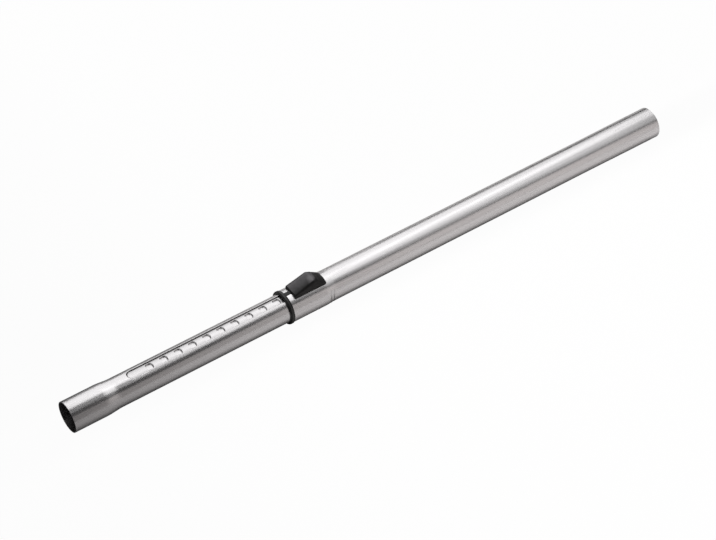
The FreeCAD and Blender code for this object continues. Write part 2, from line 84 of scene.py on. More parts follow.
camera_data = bpy.data.cameras.new("photo_camera")
camera_data.lens = LENS
camera_data.sensor_width = SENSOR_WIDTH
camera = bpy.data.objects.new("photo_camera", camera_data)
camera.location = AIM + BACK * DISTANCE
camera.rotation_mode = "QUATERNION"
camera.rotation_quaternion = (-BACK).to_track_quat("-Z", "Y")
bpy.context.scene.collection.objects.link(camera)
bpy.context.scene.camera = camera
print("camera at", [round(value, 3) for value in camera.location])

# %% [markdown]
# Small helpers for node work
#
# Materials are graphs, and the same few moves come back all the time: feed a socket, do a sum, stretch
# a value from one range to another, or blend two colours. The nodes could be placed and linked one by
# one, but with a short function for each move the graphs below read like recipes.


# %% Node helpers
def node_material(name):
    """Empty node material with its tree and its output."""
    material = bpy.data.materials.new(name)
    material.use_nodes = True
    tree = material.node_tree
    tree.nodes.clear()
    return material, tree, tree.nodes.new("ShaderNodeOutputMaterial")


def feed(tree, socket, value):
    """Link a socket to another node's output, or give it a fixed value."""
    if isinstance(value, bpy.types.NodeSocket):
        tree.links.new(value, socket)
    else:
        socket.default_value = value


def arithmetic(tree, operation, *values):
    """Result of one sum."""
    node = tree.nodes.new("ShaderNodeMath")
    node.operation = operation
    for socket, value in zip(node.inputs, values):
        feed(tree, socket, value)
    return node.outputs[0]


def diagonal(tree, first, second):
    """Length of the diagonal over two sides."""
    squares = [arithmetic(tree, "POWER", side, 2.0) for side in (first, second)]
    return arithmetic(tree, "POWER", arithmetic(tree, "ADD", *squares), 0.5)


def apart(tree, value, mark):
    """How far a value is from a mark, to either side."""
    return arithmetic(tree, "ABSOLUTE", arithmetic(tree, "SUBTRACT", value, mark))


def ranged(tree, value, span, result=(0.0, 1.0), smooth=False):
    """Stretch a value from span to result, held at both ends."""
    node = tree.nodes.new("ShaderNodeMapRange")
    node.interpolation_type = "SMOOTHSTEP" if smooth else "LINEAR"
    node.inputs["From Min"].default_value, node.inputs["From Max"].default_value = span
    feed(tree, node.inputs["Value"], value)
    feed(tree, node.inputs["To Min"], result[0])
    feed(tree, node.inputs["To Max"], result[1])
    return node.outputs["Result"]


def blended(tree, share, first, second):
    """Colour that goes from first to second with share."""
    node = tree.nodes.new("ShaderNodeMix")
    node.data_type = "RGBA"
    feed(tree, node.inputs["Factor"], share)
    feed(tree, node.inputs["A"], first)
    feed(tree, node.inputs["B"], second)
    return node.outputs["Result"]


def own_place(tree, output="Object"):
    """The piece's own coordinates, or its own normal, split into X, Y and Z."""
    place = tree.nodes.new("ShaderNodeTexCoord")
    split = tree.nodes.new("ShaderNodeSeparateXYZ")
    tree.links.new(place.outputs[output], split.inputs[0])
    return split.outputs["X"], split.outputs["Y"], split.outputs["Z"]


print("node helpers ready")

# %% [markdown]
# The table
#
# The wand lies on a white sheet that glows as if lit from below, so the ground is clean white with hardly
# a shadow. Steel mirrors that sheet in the lower half of the tube. An evenly white floor would do for the
# ground, but the tube would then lose its dark outlines. So the camera sees plain white, and the steel
# sees a painted glow with painted shade: darker towards the spigot, behind the wand, and close under
# the tube, where little light would get in.

# %% Glowing table with painted shade
FLOOR_Z = cad_low.z
FLOOR_HALF = 6.0
# Painted shade under the tube and behind the wand, and a painted glow along it, which only the steel
# sees.
UNDER_TUBE = (0.010, 0.040)
SHADED_WHITE_UNDER_TUBE = 0.3
BEHIND = (0.0, 0.05)
SEEN_WHITE = 0.97
WARM = (1.0, 0.95, 0.93)
# Each pair is a stretch along X in metres and the brightness at its two ends.
FRONT_GLOW = ((-0.9, -0.3), (0.06, 0.4))
BACK_GLOW = ((-0.74, -0.45), (0.0, 0.22))
FRONT_WHITE = ((-0.8, -0.5), (0.33, 0.7))
BACK_WHITE = ((-0.74, -0.5), (0.14, 0.5))


def table_material():
    """Clean white for the camera; for the steel a painted glow and shade, fading left and under the wand.
    """
    material, tree, output = node_material("glowing_table")
    along, across, _ = own_place(tree)
    aside = arithmetic(tree, "ABSOLUTE", across)
    # Painted glow and shade: lower towards the spigot and behind the wand, darkest close under the tube.
    glows = [ranged(tree, along, *stretch) for stretch in (FRONT_GLOW, BACK_GLOW)]
    whites = [ranged(tree, along, *stretch) for stretch in (FRONT_WHITE, BACK_WHITE)]
    open_glow = ranged(tree, across, BEHIND, glows)
    open_white = ranged(tree, across, BEHIND, whites)
    sheet = tree.nodes.new("ShaderNodeBsdfDiffuse")
    white = ranged(tree, aside, UNDER_TUBE, (SHADED_WHITE_UNDER_TUBE, open_white), smooth=True)
    feed(tree, sheet.inputs["Color"], white)
    glow = tree.nodes.new("ShaderNodeEmission")
    glow.inputs["Color"].default_value = (*WARM, 1)
    strength = ranged(tree, aside, UNDER_TUBE, (0.0, open_glow), smooth=True)
    feed(tree, glow.inputs["Strength"], strength)
    both = tree.nodes.new("ShaderNodeAddShader")
    tree.links.new(sheet.outputs[0], both.inputs[0])
    tree.links.new(glow.outputs[0], both.inputs[1])
    seen = tree.nodes.new("ShaderNodeEmission")
    path = tree.nodes.new("ShaderNodeLightPath")
    mix = tree.nodes.new("ShaderNodeMixShader")
    share = arithmetic(tree, "MULTIPLY", path.outputs["Is Camera Ray"], SEEN_WHITE)
    feed(tree, mix.inputs["Fac"], share)
    tree.links.new(both.outputs[0], mix.inputs[1])
    tree.links.new(seen.outputs[0], mix.inputs[2])
    tree.links.new(mix.outputs[0], output.inputs["Surface"])
    return material


CORNER_SIGNS = ((-1, -1), (1, -1), (1, 1), (-1, 1))
corners = [(x * FLOOR_HALF, y * FLOOR_HALF, FLOOR_Z) for x, y in CORNER_SIGNS]
floor_mesh = bpy.data.meshes.new("studio_floor")
floor_mesh.from_pydata(corners, [], [(0, 1, 2, 3)])
floor = bpy.data.objects.new("studio_floor", floor_mesh)
floor_mesh.materials.append(table_material())
bpy.context.scene.collection.objects.link(floor)
print("table at height", round(FLOOR_Z, 4))

# %% [markdown]
# The lights
#
# Brushed steel is a mirror that blurs, so what it shows is the room. The bright band along the top of
# the tube is a wide soft light overhead and behind, the grey lower half is a paler one in front, and
# the dark line between them is the gap where the camera stands. A picture of a studio could light it
# too, but soft boxes can be moved one by one until each band sits where the photograph has it. The
# walls at both ends and the box over the spigot are there for the other sides, which would be dark
# without them.

# %% Soft boxes
WATTS_PER_AREA = 4
ROOM_GREY = (0.03, 0.03, 0.03, 1)


def soft_box(name, centre, facing, size, brightness, colour=(1, 1, 1)):
    """Rectangular area light, with its length along X first."""
    light = bpy.data.lights.new(name, "AREA")
    light.color = colour
    light.shape = "RECTANGLE"
    light.size, light.size_y = size
    light.energy = WATTS_PER_AREA * size[0] * size[1] * brightness
    lamp = bpy.data.objects.new(name, light)
    lamp.location = centre
    lamp.rotation_mode = "QUATERNION"
    lamp.rotation_quaternion = Vector(facing).to_track_quat("-Z", "Y")
    bpy.context.scene.collection.objects.link(lamp)
    return lamp


DOWN, FORWARD, BACKWARD = (0, 0, -1), (0, 1, 0), (0, -1, 0)
RIGHTWARD, LEFTWARD = (1, 0, 0), (-1, 0, 0)
lamps = [
    soft_box("overhead_far", (0.9, 3.1, 1.3), DOWN, (2.6, 1.0), 1.0),
    soft_box("overhead_back", (0.25, 1.68, 1.3), DOWN, (2.3, 1.85), 1.25),
    soft_box("overhead_middle", (0.22, 0.42, 1.3), DOWN, (1.35, 0.66), 1.55),
    soft_box("overhead_edge_left", (-0.04, -0.23, 1.3), DOWN, (0.38, 0.64), 1.3),
    soft_box("overhead_edge_right", (0.5, -0.23, 1.3), DOWN, (0.7, 0.64), 0.95),
    soft_box("overhead_rim", (0.65, -0.8, 1.3), DOWN, (0.9, 0.5), 0.65),
    soft_box("overhead_rim_right", (0.95, -1.2, 1.3), DOWN, (0.8, 0.5), 0.35),
    soft_box("front_right", (0.7, -1.5, 0.6), FORWARD, (1.1, 1.15), 0.68, WARM),
    soft_box("front_left", (-0.1, -1.5, 0.6), FORWARD, (0.5, 1.15), 0.28, WARM),
    soft_box("back_wall", (0.5, 3.0, 0.75), BACKWARD, (0.9, 0.9), 1.0),
    soft_box("left_wall", (-2.2, 0.6, 0.9), RIGHTWARD, (3.0, 1.5), 0.55),
    soft_box("right_wall", (3.2, 0.0, 0.95), LEFTWARD, (3.0, 1.6), 0.5),
    soft_box("overhead_left", (-1.2, 0.0, 1.3), DOWN, (0.8, 1.4), 0.7),
]
world = bpy.data.worlds.new("studio_room")
world.use_nodes = True
world.node_tree.nodes["Background"].inputs["Color"].default_value = ROOM_GREY
bpy.context.scene.world = world
bpy.context.scene.view_settings.view_transform = "Standard"
print("soft boxes:", len(lamps))

# %% [markdown]
# Shared effects as node groups
#
# Brushing, moulded grain and wear turn up on several pieces. Each could be built again in every
# material, but a node group is built once and then placed with its own values. A group only puts out
# what changes over the surface: a tint, a roughness and a height for the bump.


# %% Group helpers
def new_group(name, inputs, outputs):
    """Shader node group; inputs are (name, kind, value) rows and outputs are (name, kind) rows."""
    group = bpy.data.node_groups.new(name, "ShaderNodeTree")
    for label, kind, value in inputs:
        socket = group.interface.new_socket(name=label, in_out="INPUT", socket_type="NodeSocket" + kind)
        socket.default_value = value
    for label, kind in outputs:
        group.interface.new_socket(name=label, in_out="OUTPUT", socket_type="NodeSocket" + kind)
    return group, group.nodes.new("NodeGroupInput"), group.nodes.new("NodeGroupOutput")


def stretched_noise(tree, per_metre, detail):
    """Noise in the piece's own coordinates, with so many waves per metre along X, Y and Z."""
    place = tree.nodes.new("ShaderNodeTexCoord")
    squeeze = tree.nodes.new("ShaderNodeMapping")
    squeeze.inputs["Scale"].default_value = per_metre
    noise = tree.nodes.new("ShaderNodeTexNoise")
    noise.inputs["Scale"].default_value = 1.0
    noise.inputs["Detail"].default_value = detail
    tree.links.new(place.outputs["Object"], squeeze.inputs["Vector"])
    tree.links.new(squeeze.outputs["Vector"], noise.inputs["Vector"])
    return noise.outputs["Fac"]


WHOLE_FINISH = [("Tint", "Color"), ("Roughness", "Float"), ("Height", "Float")]
NOISE_SPAN = (0.3, 0.7)
print("group helpers ready")

# %% [markdown]
# Lengthwise brushing
#
# The tubes are drawn through an abrasive belt, which leaves fine straight streaks along them. An
# anisotropic shader could blur the mirror one way, but it would show no single streak. Noise that is
# slow along the tube and fast around it does. A few stronger scuffs are the marks of the tubes sliding
# in each other.

# %% Brushing group
# Each pair is the waves per metre along X, Y and Z, and the detail of the noise.
FINE_STREAKS = ((5.0, 600.0, 600.0), 3.0)
BROAD_STREAKS = ((3.0, 160.0, 160.0), 2.0)
STEEL_CLOUDS = ((9.0, 30.0, 30.0), 3.0)
SCUFFS = ((12.0, 380.0, 380.0), 2.0)
FINE_SHARE = 0.6
BROAD_SHARE = 0.4
SCUFF_BAND = (0.62, 0.72)
SCUFF_ROUGHNESS = 0.08


def make_brushing():
    """Group for steel that is brushed along X."""
    group, given, made = new_group(
        "lengthwise_brushing",
        [("Tint Low", "Color", (0.5, 0.5, 0.5, 1)), ("Tint High", "Color", (0.6, 0.6, 0.6, 1)),
         ("Rough Low", "Float", 0.2), ("Rough High", "Float", 0.3)],
        WHOLE_FINISH)
    tints = given.outputs["Tint Low"], given.outputs["Tint High"]
    roughs = given.outputs["Rough Low"], given.outputs["Rough High"]
    fine = arithmetic(group, "MULTIPLY", stretched_noise(group, *FINE_STREAKS), FINE_SHARE)
    broad = arithmetic(group, "MULTIPLY", stretched_noise(group, *BROAD_STREAKS), BROAD_SHARE)
    streaks = arithmetic(group, "ADD", fine, broad)
    clouds = stretched_noise(group, *STEEL_CLOUDS)
    scuffs = ranged(group, stretched_noise(group, *SCUFFS), SCUFF_BAND)
    tint = blended(group, ranged(group, streaks, NOISE_SPAN), *tints)
    uneven = arithmetic(group, "MULTIPLY", arithmetic(group, "ADD", streaks, clouds), 0.5)
    rough = ranged(group, uneven, NOISE_SPAN, roughs)
    scuffed = arithmetic(group, "ADD", rough, arithmetic(group, "MULTIPLY", scuffs, SCUFF_ROUGHNESS))
    group.links.new(tint, made.inputs["Tint"])
    group.links.new(scuffed, made.inputs["Roughness"])
    group.links.new(streaks, made.inputs["Height"])
    return group


BRUSHING = make_brushing()
print("made group", BRUSHING.name)

# %% [markdown]
# Moulded grain
#
# The black parts come out of a mould whose walls are spark-eroded, which leaves a fine pebbled skin.
# Real bumps in the mesh would need millions of faces, so a texture of soft cells makes the pebbles.
# Slow noise makes some places a little duller and paler than others.

# %% Moulded grain group
MOULD_CLOUDS = ((120.0, 120.0, 120.0), 4.0)


def make_moulded_grain():
    """Group for plastic, felt and rubber with a pebbled skin."""
    group, given, made = new_group(
        "moulded_grain",
        [("Dark", "Color", (0.01, 0.01, 0.01, 1)), ("Light", "Color", (0.02, 0.02, 0.02, 1)),
         ("Rough Low", "Float", 0.4), ("Rough High", "Float", 0.6), ("Grain Size", "Float", 1800.0)],
        WHOLE_FINISH)
    tints = given.outputs["Dark"], given.outputs["Light"]
    roughs = given.outputs["Rough Low"], given.outputs["Rough High"]
    place = group.nodes.new("ShaderNodeTexCoord")
    pebbles = group.nodes.new("ShaderNodeTexVoronoi")
    pebbles.feature = "SMOOTH_F1"
    group.links.new(place.outputs["Object"], pebbles.inputs["Vector"])
    group.links.new(given.outputs["Grain Size"], pebbles.inputs["Scale"])
    clouds = stretched_noise(group, *MOULD_CLOUDS)
    tint = blended(group, ranged(group, clouds, NOISE_SPAN), *tints)
    rough = ranged(group, clouds, NOISE_SPAN, roughs)
    group.links.new(tint, made.inputs["Tint"])
    group.links.new(rough, made.inputs["Roughness"])
    group.links.new(pebbles.outputs["Distance"], made.inputs["Height"])
    return group


MOULDED = make_moulded_grain()
print("made group", MOULDED.name)

# %% [markdown]
# Painted shade, sheen and wear that lie over a finish
#
# Four effects change a finish only in some places: the groove gets painted shade and is duller, the
# thumb slide gets a pale painted sheen with wear on its crest, the crimps get painted shade, and the
# collar gets a thin painted highlight. They could be painted on, but a mask made from place and
# direction stays sharp from near and far. Each group takes a tint and a roughness and gives them back
# changed.

# %% Group for a changed finish
CHANGED_FINISH = [("Tint", "Color"), ("Roughness", "Float")]
FINISH_IN = [("Tint", "Color", (0.5, 0.5, 0.5, 1)), ("Roughness", "Float", 0.3)]
# Black towards which painted shade pulls a tint.
PAINTED_SHADE_BLACK = (0.0, 0.0, 0.0, 1)


def make_change(name, mask, colour, rougher):
    """Group that pulls the tint towards a colour and adds to the roughness where the mask is 1."""
    group, given, made = new_group(name, FINISH_IN, CHANGED_FINISH)
    share = mask(group)
    tint = blended(group, share, given.outputs["Tint"], colour)
    added = arithmetic(group, "MULTIPLY", share, rougher)
    rough = arithmetic(group, "ADD", given.outputs["Roughness"], added)
    group.links.new(tint, made.inputs["Tint"])
    group.links.new(rough, made.inputs["Roughness"])
    print("made group", name)
    return group


print("changed finishes give", [label for label, _ in CHANGED_FINISH])

# %% [markdown]
# Painted shade and duller steel in the groove
#
# The groove's walls and floor get painted shade and a duller finish, most on the walls, and on the floor
# the shade deepens towards the corners. How far a point is from the tube's axis tells wall, floor and rim
# apart, so nothing has to be unwrapped. The pockets' own floors lie lower and are left bright.

# %% Painted shade in the pressed groove
FLOOR_SIDES = (1.5 * MM, 5.2 * MM)
FLOOR_DIM = (0.03, 0.3)
POCKET_HEIGHTS = (13.0 * MM, 13.7 * MM)
FLOOR_RADII = (15.2 * MM, 16.0 * MM)
RIM_RADII = (16.0 * MM, 16.2 * MM)
WALL_RADII = (14.7 * MM, 15.1 * MM)
WALL_DIM = 0.6


def groove_shade_mask(group):
    """Painted shade: strong on the groove's walls, weaker on its floor, where it deepens towards the
    corners.
    """
    _, y, z = own_place(group)
    radius = diagonal(group, y, z)
    corners = ranged(group, arithmetic(group, "ABSOLUTE", y), FLOOR_SIDES, FLOOR_DIM)
    level = ranged(group, z, POCKET_HEIGHTS, (0.0, corners))
    floors = ranged(group, radius, FLOOR_RADII, (level, 0.0))
    below_rim = ranged(group, radius, RIM_RADII, (WALL_DIM, 0.0))
    walls = arithmetic(group, "MULTIPLY", below_rim, ranged(group, radius, WALL_RADII))
    return arithmetic(group, "ADD", floors, walls)


# Painted shade: pulls the groove's tint towards black, and makes it a little rougher.
PRESSED = make_change("groove_painted_shade_and_dulling", groove_shade_mask, PAINTED_SHADE_BLACK, rougher=0.1)

# %% [markdown]
# Painted sheen and thumb wear on the slide
#
# The faces that look up get a pale painted sheen, as the light overhead would give them, more on the far
# side. Across the crest, where thumbs rub, it is strongest and stands for wear as well. The direction of
# a face finds the top, and its place on the slide finds the side and the crest. Noise breaks it up,
# because an even grey would look like paint.

# %% Painted sheen and crest wear
SHEEN_AND_THUMB_RUB_GREY = (0.175, 0.169, 0.176, 1)
LOOKS_UP = (0.86, 0.95)
LEANS = (0.05, 0.3)
SIDE_FADE = (-9.0 * MM, 8.0 * MM)
THUMB_SPOT = (-469.3 * MM, -3.0 * MM)
SPOT_SQUASH = 0.6
SPOT_BAND = (0.5 * MM, 7.0 * MM)
SPOT_WEAR = 1.4
SHEEN_PATCHES = ((160.0, 160.0, 160.0), 3.0)
PATCH_STRENGTH = (0.7, 1.0)


def sheen_and_thumb_rub_mask(group):
    """Painted sheen on faces that look up, unevenly, more on the far side, and wear across the crest."""
    _, sideways, up = own_place(group, "Normal")
    x, y, _ = own_place(group)
    along = arithmetic(group, "SUBTRACT", x, THUMB_SPOT[0])
    aside = arithmetic(group, "SUBTRACT", y, THUMB_SPOT[1])
    across = arithmetic(group, "MULTIPLY", aside, SPOT_SQUASH)
    spot = ranged(group, diagonal(group, along, across), SPOT_BAND, (SPOT_WEAR, 0.0))
    pale_reach = arithmetic(group, "MAXIMUM", ranged(group, y, SIDE_FADE), spot)
    patches = ranged(group, stretched_noise(group, *SHEEN_PATCHES), NOISE_SPAN, PATCH_STRENGTH)
    level = ranged(group, arithmetic(group, "ABSOLUTE", sideways), LEANS, (1.0, 0.0))
    top = arithmetic(group, "MULTIPLY", ranged(group, up, LOOKS_UP, smooth=True), level)
    return arithmetic(group, "MULTIPLY", arithmetic(group, "MULTIPLY", top, pale_reach), patches)


# Painted sheen: pulls the tint of upward faces towards pale grey, with thumb wear on the crest.
SHEEN_AND_THUMB_RUB = make_change("painted_sheen_and_thumb_rub", sheen_and_thumb_rub_mask, SHEEN_AND_THUMB_RUB_GREY, rougher=-0.04)

# %% [markdown]
# Painted shade in the crimps, and a painted highlight round the collar
#
# Behind the latch, two crimps on the tube's flanks get painted shade, which fades out towards the top of
# the tube. Round the collar's middle runs a thin paler line, a painted highlight. Both are bands at a
# known place along the wand, so the distance from that place is all the mask needs.

# %% Painted crimp shade and collar highlight
CRIMPS = (-453.0, -449.2)
CRIMP_SHADE_STRENGTH = 0.4
CRIMP_SPREAD = (0.3 * MM, 1.1 * MM)
FLANK_FADE = (0.0, 9.0 * MM)
COLLAR_HIGHLIGHT_GREY = (0.035, 0.034, 0.034, 1)
COLLAR_HIGHLIGHT_X = -502.3 * MM
COLLAR_HIGHLIGHT_BAND = (0.2 * MM, 0.7 * MM)


def crimp_shade_mask(group):
    """Painted shade in bands at the crimps, which fades out towards the top of the tube."""
    x, _, z = own_place(group)
    distances = [apart(group, x, line * MM) for line in CRIMPS]
    lines = [ranged(group, distance, CRIMP_SPREAD, (CRIMP_SHADE_STRENGTH, 0.0)) for distance in distances]
    flank = ranged(group, z, FLANK_FADE, (1.0, 0.0))
    return arithmetic(group, "MULTIPLY", arithmetic(group, "ADD", *lines), flank)


def collar_highlight_mask(group):
    """Painted highlight: a thin band round the collar's middle."""
    x, _, _ = own_place(group)
    return ranged(group, apart(group, x, COLLAR_HIGHLIGHT_X), COLLAR_HIGHLIGHT_BAND, (1.0, 0.0))


# Painted shade: pulls the crimps' tint towards black, and makes them a little rougher.
CRIMP_SHADE = make_change("crimp_painted_shade", crimp_shade_mask, PAINTED_SHADE_BLACK, rougher=0.1)
# Painted highlight: pulls the collar's tint towards grey in a thin line, and makes it a little smoother.
COLLAR_HIGHLIGHT = make_change("collar_painted_highlight", collar_highlight_mask, COLLAR_HIGHLIGHT_GREY, rougher=-0.05)

# %% [markdown]
# Building a material
#
# Every material is one Principled shader with a group in front of it, and where a piece has painted
# shade, a painted sheen or highlight, or wear, a second group between the two. What is the same all over,
# such as how metallic it is, is set on the shader itself, where it is easy to find and change.

# %% Material builder
GREY_CAST = (1.01, 0.99, 1.0)


def dressed(name, finish, values, change=None, metallic=0.0, specular=0.5, bump=0.1, bump_depth=0.1):
    """Principled material from a finish group, its values, and a group that changes it in places."""
    material, tree, output = node_material(name)
    shader = tree.nodes.new("ShaderNodeBsdfPrincipled")
    shader.inputs["Metallic"].default_value = metallic
    shader.inputs["Specular IOR Level"].default_value = specular
    base = tree.nodes.new("ShaderNodeGroup")
    base.node_tree = finish
    for label, value in values.items():
        base.inputs[label].default_value = value
    top = base
    if change:
        top = tree.nodes.new("ShaderNodeGroup")
        top.node_tree = change
        tree.links.new(base.outputs["Tint"], top.inputs["Tint"])
        tree.links.new(base.outputs["Roughness"], top.inputs["Roughness"])
    relief = tree.nodes.new("ShaderNodeBump")
    relief.inputs["Strength"].default_value = bump
    relief.inputs["Distance"].default_value = bump_depth * MM
    tree.links.new(base.outputs["Height"], relief.inputs["Height"])
    tree.links.new(top.outputs["Tint"], shader.inputs["Base Color"])
    tree.links.new(top.outputs["Roughness"], shader.inputs["Roughness"])
    tree.links.new(relief.outputs["Normal"], shader.inputs["Normal"])
    tree.links.new(shader.outputs[0], output.inputs["Surface"])
    return material


def grey(value):
    """Grey with the faintest cast, as the photograph's greys have."""
    return (*(value * share for share in GREY_CAST), 1)


print("material builder ready")

# %% [markdown]
# Steel
#
# Stainless tube mirrors a little over half of the light. The inner tube is the same steel with painted
# shade and a duller finish in its groove, and the outer one has painted shade in its crimps, so they
# share one finish and differ in the group laid over it. Spring and pin are hidden, but a part is seen
# from all sides when it is taken apart, so they get drawn wire.

# %% Steel materials
TUBE_FINISH = {"Tint Low": grey(0.50), "Tint High": grey(0.60), "Rough Low": 0.22, "Rough High": 0.32}
WIRE_FINISH = {"Tint Low": grey(0.38), "Tint High": grey(0.50), "Rough Low": 0.20, "Rough High": 0.30}
TUBE_METAL = {"metallic": 1.0, "bump": 0.03, "bump_depth": 0.05}
# The outer tube's steel carries painted shade in its crimps.
STEEL = dressed("brushed_steel_tube", BRUSHING, TUBE_FINISH, CRIMP_SHADE, **TUBE_METAL)
# The inner tube's steel carries painted shade in its groove.
PRESSED_STEEL = dressed("brushed_steel_pressed", BRUSHING, TUBE_FINISH, PRESSED, **TUBE_METAL)
WIRE = dressed("drawn_wire", BRUSHING, WIRE_FINISH, metallic=1.0)
print("steels:", STEEL.name, PRESSED_STEEL.name, WIRE.name)

# %% [markdown]
# Plastics, felt and rubber
#
# All of these use the moulded grain with their own values, because they differ mostly in how dark and
# how dull they are. Felt is coarse and quite dull, rubber is soft black, and the locking block is a
# pale slippery plastic.

# %% Moulded materials
BLACK_FINISH = {"Dark": grey(0.006), "Light": grey(0.011), "Rough Low": 0.42, "Rough High": 0.56}
COLLAR_FINISH = {"Dark": grey(0.003), "Light": grey(0.007), "Rough Low": 0.40, "Rough High": 0.52}
ACETAL_FINISH = {"Dark": grey(0.48), "Light": grey(0.56), "Rough Low": 0.30, "Rough High": 0.42}
FELT_FINISH = {"Dark": grey(0.05), "Light": grey(0.12), "Rough Low": 0.9, "Rough High": 1.0}
FELT_FINISH["Grain Size"] = 4000.0
RUBBER_FINISH = {"Dark": grey(0.012), "Light": grey(0.02), "Rough Low": 0.60, "Rough High": 0.75}
PEBBLES = {"bump": 0.15, "bump_depth": 0.05}
FINE_PEBBLES = {"bump": 0.1, "bump_depth": 0.05}
BLACK = dressed("black_moulding", MOULDED, BLACK_FINISH, **PEBBLES)
# The slide's black carries a painted sheen on its upper faces, and wear on the crest.
THUMB_BLACK = dressed("black_thumb_slide", MOULDED, BLACK_FINISH, SHEEN_AND_THUMB_RUB, specular=0.2, **PEBBLES)
# The collar's black carries a thin painted highlight line round its middle.
COLLAR_BLACK = dressed("black_collar", MOULDED, COLLAR_FINISH, COLLAR_HIGHLIGHT, specular=0.35, **FINE_PEBBLES)
ACETAL = dressed("pale_acetal", MOULDED, ACETAL_FINISH, bump=0.05)
FELT = dressed("pressed_felt", MOULDED, FELT_FINISH, bump=0.6, bump_depth=0.2)
RUBBER = dressed("soft_seal_rubber", MOULDED, RUBBER_FINISH)
MOULDINGS = (BLACK, THUMB_BLACK, COLLAR_BLACK, ACETAL, FELT, RUBBER)
print("mouldings:", [material.name for material in MOULDINGS])

# %% [markdown]
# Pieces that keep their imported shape
#
# The sleeve with its collar and all that is hidden inside the tubes have the right shape already. They
# could be built again more finely, but nothing would look different, so they only get a better finish.

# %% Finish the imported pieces
PACKED_FINISH = {
    "guide_sleeve": (COLLAR_BLACK, "black_plastic"),
    "lock_pawl": (ACETAL, "pawl_plastic"),
    "pawl_pin": (WIRE, "pin_steel"),
    "return_spring": (WIRE, "spring_steel"),
    "wiper_ring": (FELT, "felt"),
    "rear_bush": (BLACK, "black_plastic"),
    "rear_seal": (RUBBER, "seal_rubber"),
}
for node_name, (material, slot_name) in PACKED_FINISH.items():
    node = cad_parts[node_name]
    node.data.materials.clear()
    node.data.materials.append(material)
print("packed pieces finished:", len(PACKED_FINISH))

# %% [markdown]
# Shells from grids
#
# Tubes and the thumb slide are thin shells. They could be cut from solids, but pressed metal has soft
# edges everywhere, and a grid of points can follow those. One grid gives the outer face and a second
# one the inner face, and the two are stitched at the ends and round any opening. Rows stand close
# together where the metal bends and far apart where it is straight, so the detail costs few faces.

# %% Grid shell
SHARP_ANGLE = math.radians(60)


def grid_shell(name, rows, columns, outer_point, inner_point, joined=True, open_cell=None):
    """Closed shell; a joined grid runs all the way round, and open_cell says which cells are cut out."""
    count, around = len(rows), len(columns)
    outside = [outer_point(row, column) for row in rows for column in columns]
    inside = [inner_point(row, column) for row in rows for column in columns]
    below = len(outside)
    faces = []

    def is_open(row, column):
        if not 0 <= row < count - 1:
            return True
        if not joined and not 0 <= column < around - 1:
            return True
        return bool(open_cell and open_cell(row, column % around))

    for row in range(count - 1):
        for column in range(around if joined else around - 1):
            if is_open(row, column):
                continue
            a = row * around + column
            b = row * around + (column + 1) % around
            c, d = a + around, b + around
            faces.append((a, c, d, b))
            faces.append((a + below, b + below, d + below, c + below))
            if is_open(row - 1, column):
                faces.append((a, b, b + below, a + below))
            if is_open(row + 1, column):
                faces.append((c, c + below, d + below, d))
            if is_open(row, column - 1):
                faces.append((a, a + below, c + below, c))
            if is_open(row, column + 1):
                faces.append((b, d, d + below, b + below))
    mesh = bpy.data.meshes.new(name)
    mesh.from_pydata([Vector(point) * MM for point in outside + inside], [], faces)
    mesh.polygons.foreach_set("use_smooth", [True] * len(mesh.polygons))
    mesh.set_sharp_from_angle(angle=SHARP_ANGLE)
    shell = bpy.data.objects.new(name, mesh)
    bpy.context.scene.collection.objects.link(shell)
    print(name, "has", len(mesh.polygons), "faces")
    return shell


print("grid shells ready")

# %% [markdown]
# Soft steps, and dressing a new piece
#
# A step in pressed metal starts and ends gently, and a broken line bends over a short length. Two small
# functions give those heights, so that every shape below is softened in the same way. A third gives a
# new piece its material and the body it moves with, and hides the imported piece it stands for.

# %% Shape helpers
EASE_SAMPLES = 7


def smooth_step(value, start, end):
    """0 up to start, 1 from end on, and a soft step between."""
    share = min(1.0, max(0.0, (value - start) / (end - start)))
    return share * share * (3 - 2 * share)


def eased(x, places, heights, reach):
    """Height of a broken line at x, with its corners rounded over reach to both sides."""
    nearby = np.linspace(x - reach, x + reach, EASE_SAMPLES)
    return float(np.mean(np.interp(nearby, places, heights)))


def dress(piece, material, body, node_name):
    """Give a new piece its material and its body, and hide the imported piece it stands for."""
    piece.data.materials.append(material)
    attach(piece, body)
    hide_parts(node_name)


print("half-way up a soft step:", smooth_step(0.5, 0.0, 1.0))

# %% [markdown]
# The inner tube
#
# A wider spigot for the floor tool tapers to the sliding tube. Then a die presses a long groove with a
# nearly flat floor, and into that floor a row of pockets for the lock. Cuts would leave sharp holes, so
# the press work is modelled as heights over a plain tube. All lengths are in millimetres, along X from
# the handle's mouth.

# %% Measures of the inner tube
TUBE_WALL = 0.6
PRESSED_WALL = 0.4
SPIGOT_X = -766.0
INNER_END_X = -261.0
SPIGOT_RADIUS = 17.5
INNER_RADIUS = 16.25
TAPER = (SPIGOT_X + 41.0, SPIGOT_X + 54.0)
TAPER_EASE = 2.5
GROOVE_START = SPIGOT_X + 72.5
GROOVE_HALF = 5.5
GROOVE_HUB = GROOVE_START + GROOVE_HALF
GROOVE_FLOOR = 13.85
FLOOR_CROWN = 0.15
LIP_WIDTH = 1.4
LIP_REACH = 2 * LIP_WIDTH
LIP_END = -0.3
LIP_DEPTH = 0.4
LIP_FADE = 5.0
PRESSED_BAND = (-0.4, 0.4)
STEEP_BAND = (-0.2, 0.2)
POCKET_FLOOR = 12.15
FIRST_POCKET = SPIGOT_X + 98.0
POCKET_PITCH = 17.4
POCKET_COUNT = 21
POCKET_HALF_LENGTH = 3.3
POCKET_HALF_WIDTH = 3.75
POCKET_ROUND = 1.7
POCKET_BOW = 0.8
print("pockets run from", FIRST_POCKET, "to", FIRST_POCKET + (POCKET_COUNT - 1) * POCKET_PITCH)

